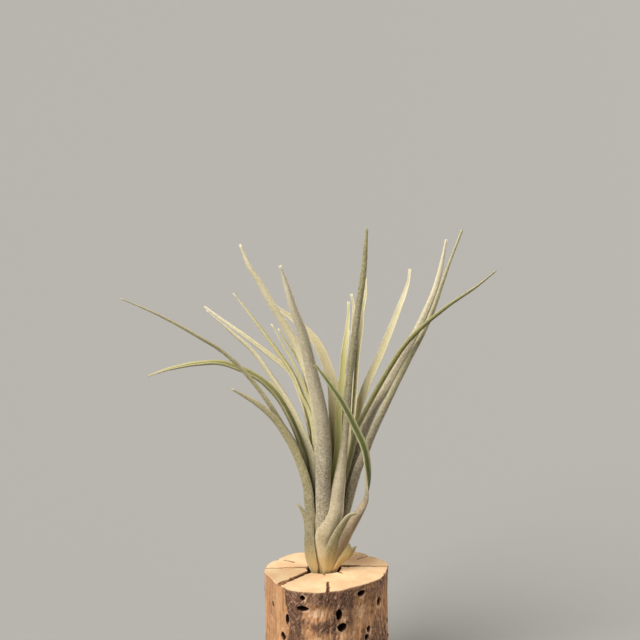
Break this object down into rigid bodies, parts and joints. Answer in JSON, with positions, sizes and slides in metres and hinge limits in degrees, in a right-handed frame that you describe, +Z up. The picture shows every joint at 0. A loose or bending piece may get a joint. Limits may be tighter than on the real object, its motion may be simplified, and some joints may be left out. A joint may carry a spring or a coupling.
{
  "type": "air plant in a wooden post",
  "caption": "Small air plant, a rosette of long channelled leaves, standing in the hole of a short sawn length of worm-bored wood.",
  "frame": {"origin": "middle of the wooden post's flat foot, where it stands", "axes": "+Z up, along the post and the rosette's axis; +X to the right and -Y to the front as seen in the picture"},
  "size_m": [0.1394, 0.0823, 0.1881],
  "materials": {
    "leaf": "velvety matt, silver-green",
    "stem": "dry, matt, straw-coloured",
    "wood": "bare sun-bleached wood, sawn top"
  },
  "bodies": {
    "root": {"post": "wood", "stem": "stem", "leaf_heart_left": "leaf", "leaf_heart_right": "leaf", "leaf_inner_left_green": "leaf", "leaf_inner_left_short": "leaf", "leaf_inner_back_arching": "leaf", "leaf_inner_back_green": "leaf", "leaf_inner_right_pale": "leaf", "leaf_inner_front": "leaf", "leaf_inner_left_tall": "leaf", "leaf_third_left_mid": "leaf", "leaf_third_back_tall": "leaf", "leaf_third_back_left_tall": "leaf", "leaf_third_right_cream": "leaf", "leaf_third_right_grey": "leaf", "leaf_third_left_low": "leaf", "leaf_third_right_pale": "leaf", "leaf_third_front_left": "leaf", "leaf_second_back_left_low": "leaf", "leaf_second_back_left": "leaf", "leaf_second_back_right": "leaf", "leaf_second_back_right_tall": "leaf", "leaf_second_left_drooping": "leaf", "leaf_second_left_long": "leaf", "leaf_second_left_hook": "leaf", "leaf_second_front_tall": "leaf", "leaf_outer_back": "leaf", "leaf_outer_back_left": "leaf", "leaf_outer_back_right": "leaf", "leaf_outer_left": "leaf", "leaf_outer_right_twisted": "leaf", "leaf_outer_front_short": "leaf", "leaf_outer_right_stub": "leaf"}
  },
  "joints": []
}
